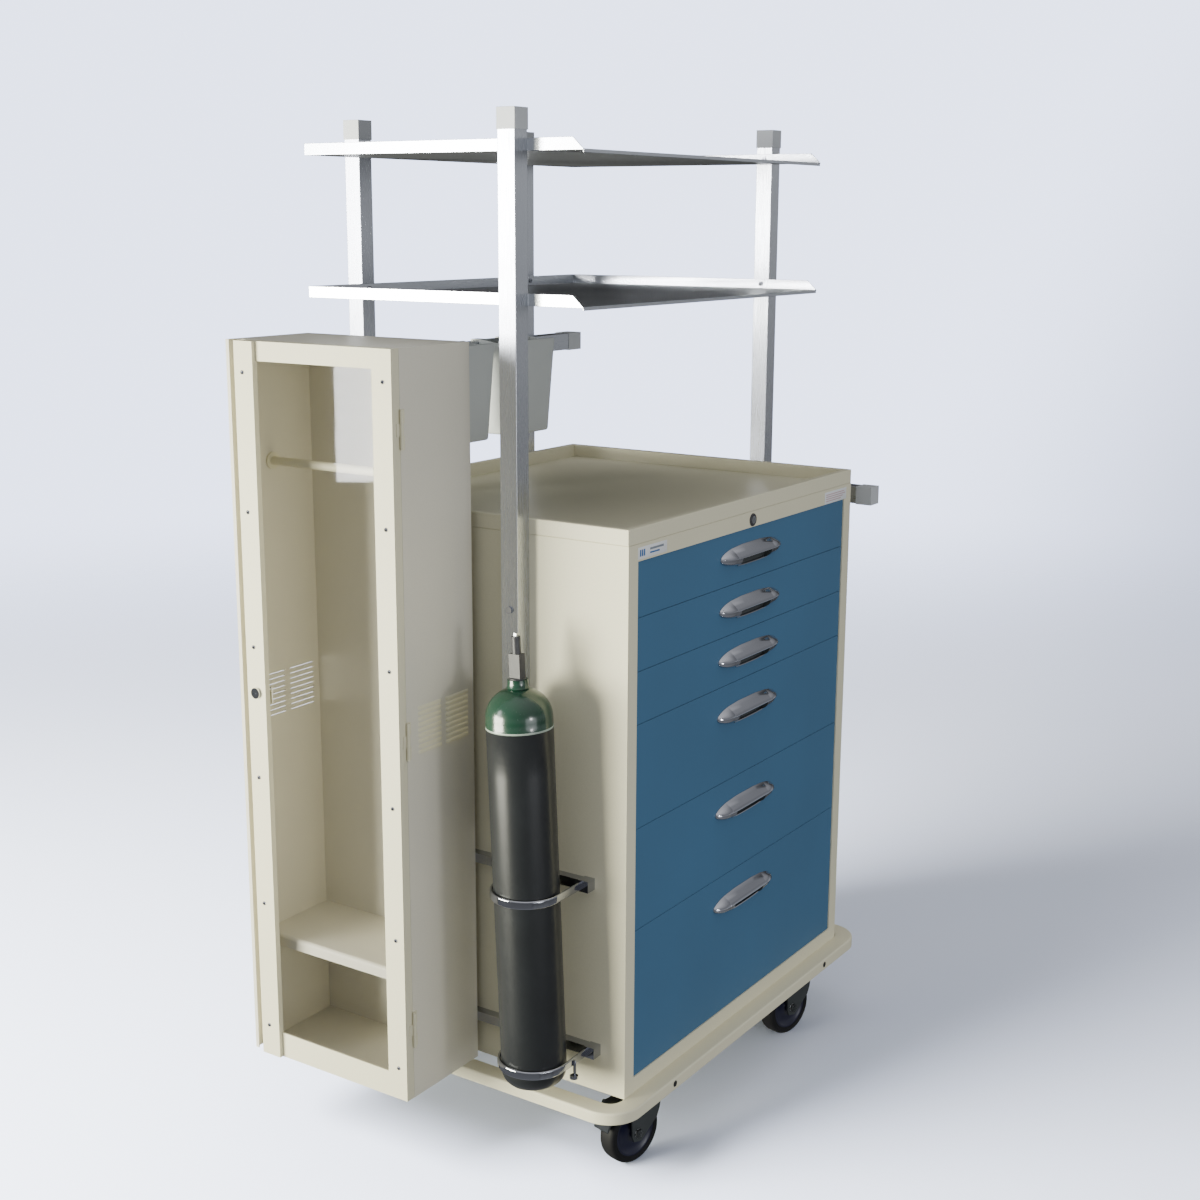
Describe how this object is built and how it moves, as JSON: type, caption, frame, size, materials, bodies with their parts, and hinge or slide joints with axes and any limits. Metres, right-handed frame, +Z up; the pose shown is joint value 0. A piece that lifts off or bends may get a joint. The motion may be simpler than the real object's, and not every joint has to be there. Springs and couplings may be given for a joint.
{
  "type": "hospital crash cart",
  "caption": "Hospital crash cart: drawer cabinet with a top tray on swivel casters, equipment shelves on square posts, side scope cabinet and oxygen cylinder.",
  "frame": {"origin": "on the floor under the middle of the whole cart's bounding box", "axes": "+Z up, -Y is the front where the drawers open, +X is the side with the handle rail, -X is the side with the scope cabinet and the gas cylinder"},
  "size_m": [1.0464, 0.696, 1.697],
  "materials": {
    "cabinet": "cream powder coat, satin",
    "drawer": "blue powder coat, satin",
    "drawer_inside": "zinc-plated sheet",
    "stainless": "brushed stainless steel",
    "chrome": "polished",
    "zinc": "zinc-plated steel",
    "frame_dark": "dark grey paint",
    "cap_grey": "moulded, matte",
    "bin": "moulded, matte",
    "window": "clear acrylic",
    "gas": "black and green gloss paint",
    "valve": "plated valve body",
    "tyre": "black moulded tread",
    "hub": "dark navy moulded wheel centre"
  },
  "bodies": {
    "frame": {"cabinet_shell": "cabinet", "tray_top": "cabinet", "bumper_frame": "cabinet", "caster_beams": "frame_dark", "cabinet_slides": "zinc", "lock_housing": "chrome", "posts": "stainless", "tube_caps": "cap_grey", "upper_shelf": "stainless", "lower_shelf": "stainless", "frame_screws": "chrome", "rear_rail": "stainless", "side_rail": "stainless", "scope_cabinet": "cabinet", "scope_rod": "cabinet", "scope_shelf": "cabinet", "scope_hinge": "zinc", "cylinder_brackets": "chrome"},
    "drawer_1": {"drawer_front_1": "drawer", "drawer_box_1": "drawer_inside", "handle_1": "chrome"},
    "drawer_2": {"drawer_front_2": "drawer", "drawer_box_2": "drawer_inside", "handle_2": "chrome"},
    "drawer_3": {"drawer_front_3": "drawer", "drawer_box_3": "drawer_inside", "handle_3": "chrome"},
    "drawer_4": {"drawer_front_4": "drawer", "drawer_box_4": "drawer_inside", "handle_4": "chrome"},
    "drawer_5": {"drawer_front_5": "drawer", "drawer_box_5": "drawer_inside", "handle_5": "chrome"},
    "drawer_6": {"drawer_front_6": "drawer", "drawer_box_6": "drawer_inside", "handle_6": "chrome"},
    "cabinet_lock": {"lock_plug": "chrome"},
    "caster_1": {"fork_1": "frame_dark"},
    "wheel_1": {"tyre_1": "tyre", "hub_1": "hub"},
    "caster_2": {"fork_2": "frame_dark"},
    "wheel_2": {"tyre_2": "tyre", "hub_2": "hub"},
    "caster_3": {"fork_3": "frame_dark"},
    "wheel_3": {"tyre_3": "tyre", "hub_3": "hub"},
    "caster_4": {"fork_4": "frame_dark"},
    "wheel_4": {"tyre_4": "tyre", "hub_4": "hub"},
    "pedal_1": {"brake_1": "zinc"},
    "pedal_4": {"brake_4": "zinc"},
    "scope_door": {"scope_door_frame": "cabinet", "scope_door_window": "window", "scope_door_screws": "chrome"},
    "scope_lock": {"scope_door_lock": "chrome"},
    "bin_1": {"bin_1": "bin"},
    "bin_2": {"bin_2": "bin"},
    "gas_cylinder": {"oxygen_cylinder": "gas", "oxygen_valve": "valve"},
    "gas_stem": {"valve_stem": "zinc"}
  },
  "joints": [
    {"name": "drawer_1_slide", "type": "slide", "parent": "frame", "child": "drawer_1", "axis": [0, -1, 0], "range_m": [0, 0.48]},
    {"name": "drawer_2_slide", "type": "slide", "parent": "frame", "child": "drawer_2", "axis": [0, -1, 0], "range_m": [0, 0.48]},
    {"name": "drawer_3_slide", "type": "slide", "parent": "frame", "child": "drawer_3", "axis": [0, -1, 0], "range_m": [0, 0.48]},
    {"name": "drawer_4_slide", "type": "slide", "parent": "frame", "child": "drawer_4", "axis": [0, -1, 0], "range_m": [0, 0.48]},
    {"name": "drawer_5_slide", "type": "slide", "parent": "frame", "child": "drawer_5", "axis": [0, -1, 0], "range_m": [0, 0.48]},
    {"name": "drawer_6_slide", "type": "slide", "parent": "frame", "child": "drawer_6", "axis": [0, -1, 0], "range_m": [0, 0.48]},
    {"name": "cabinet_lock_turn", "type": "hinge", "parent": "frame", "child": "cabinet_lock", "pos_m": [0.07695, -0.31598, 1.0425], "axis": [0, 1, 0], "range_deg": [0, 90]},
    {"name": "caster_1_swivel", "type": "hinge", "parent": "frame", "child": "caster_1", "pos_m": [-0.20355, -0.29397, 0.1157], "axis": [0, 0, 1], "continuous": true},
    {"name": "wheel_1_roll", "type": "hinge", "parent": "caster_1", "child": "wheel_1", "pos_m": [-0.24545, -0.2843, 0.055], "axis": [-0.225, -0.9744, 0], "continuous": true},
    {"name": "caster_2_swivel", "type": "hinge", "parent": "frame", "child": "caster_2", "pos_m": [0.35145, -0.29397, 0.1157], "axis": [0, 0, 1], "continuous": true},
    {"name": "wheel_2_roll", "type": "hinge", "parent": "caster_2", "child": "wheel_2", "pos_m": [0.30955, -0.2843, 0.055], "axis": [-0.225, -0.9744, 0], "continuous": true},
    {"name": "caster_3_swivel", "type": "hinge", "parent": "frame", "child": "caster_3", "pos_m": [-0.20355, 0.29302, 0.1157], "axis": [0, 0, 1], "continuous": true},
    {"name": "wheel_3_roll", "type": "hinge", "parent": "caster_3", "child": "wheel_3", "pos_m": [-0.24545, 0.3027, 0.055], "axis": [-0.225, -0.9744, 0], "continuous": true},
    {"name": "caster_4_swivel", "type": "hinge", "parent": "frame", "child": "caster_4", "pos_m": [0.35145, 0.29302, 0.1157], "axis": [0, 0, 1], "continuous": true},
    {"name": "wheel_4_roll", "type": "hinge", "parent": "caster_4", "child": "wheel_4", "pos_m": [0.30955, 0.3027, 0.055], "axis": [-0.225, -0.9744, 0], "continuous": true},
    {"name": "pedal_1_press", "type": "hinge", "parent": "caster_1", "child": "pedal_1", "pos_m": [-0.25811, -0.28138, 0.1175], "axis": [-0.225, -0.9744, 0], "range_deg": [0, 10]},
    {"name": "pedal_4_press", "type": "hinge", "parent": "caster_4", "child": "pedal_4", "pos_m": [0.29689, 0.30562, 0.1175], "axis": [-0.225, -0.9744, 0], "range_deg": [0, 10]},
    {"name": "scope_door_swing", "type": "hinge", "parent": "frame", "child": "scope_door", "pos_m": [-0.4944, -0.03377, 0.749], "axis": [0, 0, 1], "range_deg": [0, 110]},
    {"name": "scope_lock_turn", "type": "hinge", "parent": "scope_door", "child": "scope_lock", "pos_m": [-0.51915, 0.26253, 0.786], "axis": [1, 0, 0], "range_deg": [0, 90]},
    {"name": "bin_1_lift", "type": "slide", "parent": "frame", "child": "bin_1", "axis": [0, 0, 1], "range_m": [0, 0.06]},
    {"name": "bin_2_lift", "type": "slide", "parent": "frame", "child": "bin_2", "axis": [0, 0, 1], "range_m": [0, 0.06]},
    {"name": "gas_cylinder_lift", "type": "slide", "parent": "frame", "child": "gas_cylinder", "axis": [0, 0.0436, 0.999], "range_m": [0, 0.35]},
    {"name": "gas_stem_turn", "type": "hinge", "parent": "gas_cylinder", "child": "gas_stem", "pos_m": [-0.39655, -0.16862, 0.90431], "axis": [0, 0.0436, 0.999], "range_deg": [0, 270]}
  ]
}
